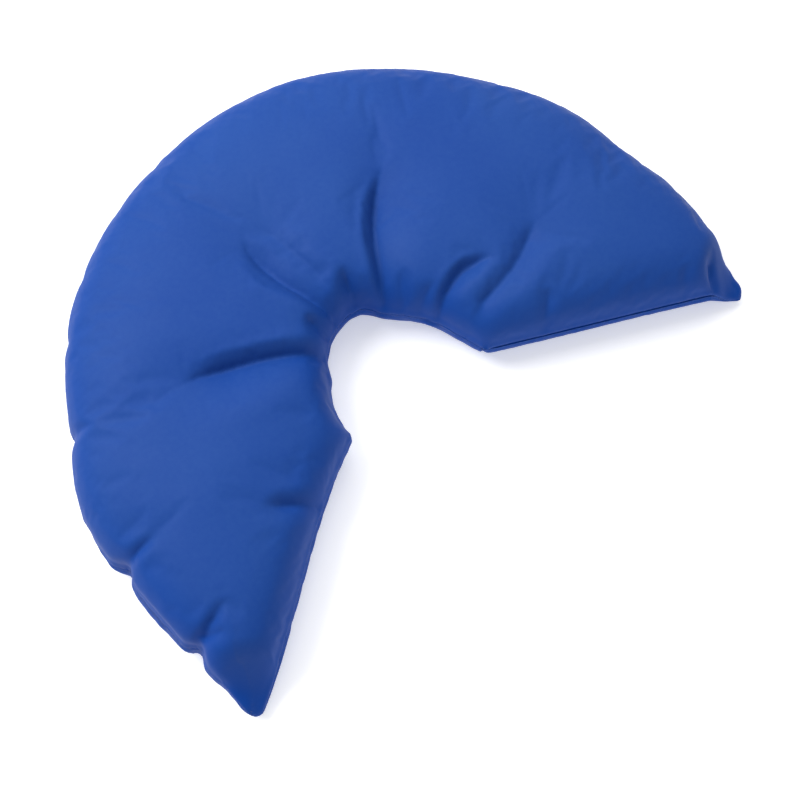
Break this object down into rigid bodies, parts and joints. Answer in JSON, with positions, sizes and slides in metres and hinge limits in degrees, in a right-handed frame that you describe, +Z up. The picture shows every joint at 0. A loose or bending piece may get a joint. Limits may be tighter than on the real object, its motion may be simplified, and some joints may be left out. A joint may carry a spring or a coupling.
{
  "type": "lumbar support cushion",
  "caption": "Crescent-shaped soft cushion in wipe-clean coated cloth with a concealed zip and a bead-filled liner; wraps round the lower back or waist.",
  "frame": {"origin": "middle of the cushion's footprint, on the surface it lies on", "axes": "+Z up out of the surface; +Y towards the round back edge, so the notch and the horns point towards -Y; +X towards the horn with the zip"},
  "size_m": [0.804, 0.598, 0.118],
  "materials": {
    "cover_cloth": "satin polyurethane-coated knit, royal blue",
    "cover_thread": "polyester sewing thread, blue",
    "liner_cloth": "plain white polycotton",
    "liner_thread": "white overlock thread",
    "filling": "expanded polystyrene beads",
    "zip_tape": "woven polyester zip tape, blue",
    "zip_coil": "moulded nylon coil, dark blue",
    "zip_metal": "die-cast zinc, enamelled dark blue"
  },
  "bodies": {
    "cover": {"cover_top_panel": "cover_cloth", "cover_bottom_panel": "cover_cloth", "cover_needle_thread": "cover_thread", "cover_bobbin_thread": "cover_thread", "liner_top_panel": "liner_cloth", "liner_bottom_panel": "liner_cloth", "liner_overlock_thread": "liner_thread", "bead_filling": "filling", "zip_tape_upper": "zip_tape", "zip_tape_lower": "zip_tape", "zip_stitching_upper": "cover_thread", "zip_stitching_lower": "cover_thread", "zip_coil_upper": "zip_coil", "zip_coil_lower": "zip_coil", "zip_bottom_stop": "zip_metal", "zip_top_stop_upper": "zip_metal", "zip_top_stop_lower": "zip_metal"},
    "slider": {"zip_slider": "zip_metal"},
    "pull": {"zip_pull": "zip_metal"}
  },
  "joints": [
    {"name": "zip_slide", "type": "slide", "parent": "cover", "child": "slider", "axis": [-0.8926, 0.4509, 0], "range_m": [0, 0.22626], "deforming": ["zip_coil_upper", "zip_coil_lower"]},
    {"name": "pull_swing", "type": "hinge", "parent": "slider", "child": "pull", "pos_m": [0.32564, -0.26784, 0.04], "axis": [0, 0, 1], "range_deg": [0, 100]}
  ]
}
